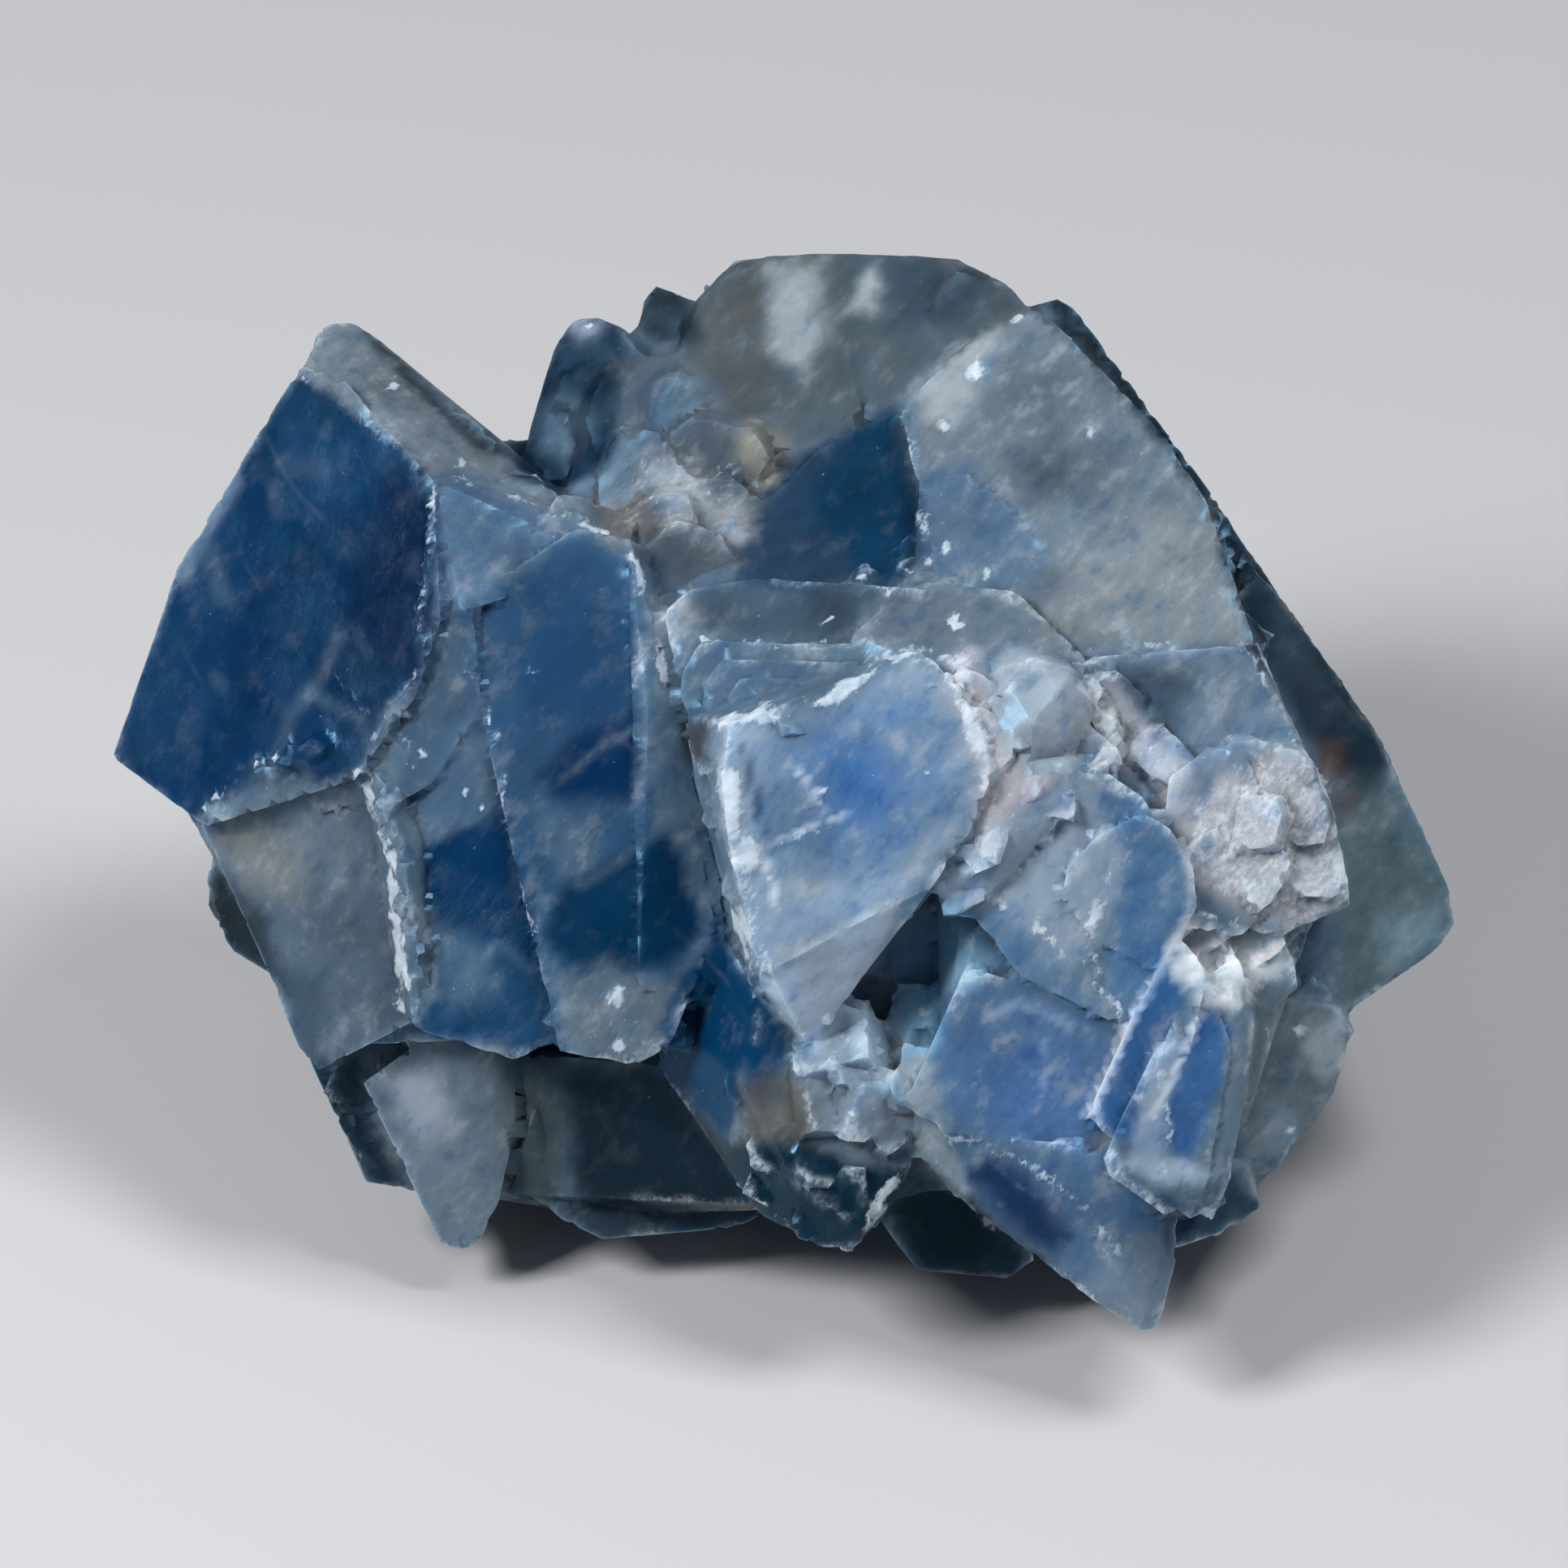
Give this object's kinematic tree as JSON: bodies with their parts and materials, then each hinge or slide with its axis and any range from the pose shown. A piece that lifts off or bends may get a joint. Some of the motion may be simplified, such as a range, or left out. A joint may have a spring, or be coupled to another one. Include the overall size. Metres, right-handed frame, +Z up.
{
  "type": "blue calcite",
  "caption": "Rough lump of blue calcite with broken cleavage faces, ledges and crushed white edges, lying on a flat broken base.",
  "frame": {"origin": "centre of the bounding box's bottom, on the plane of the flat base", "axes": "+X to the picture's right along the lump's length, +Y away from the picture's camera, +Z up"},
  "size_m": [0.06, 0.0462, 0.0386],
  "materials": {
    "blue_calcite": "broken, glossy to frosted, cloudy blue with white edges"
  },
  "bodies": {
    "root": {"calcite": "blue_calcite"}
  },
  "joints": []
}
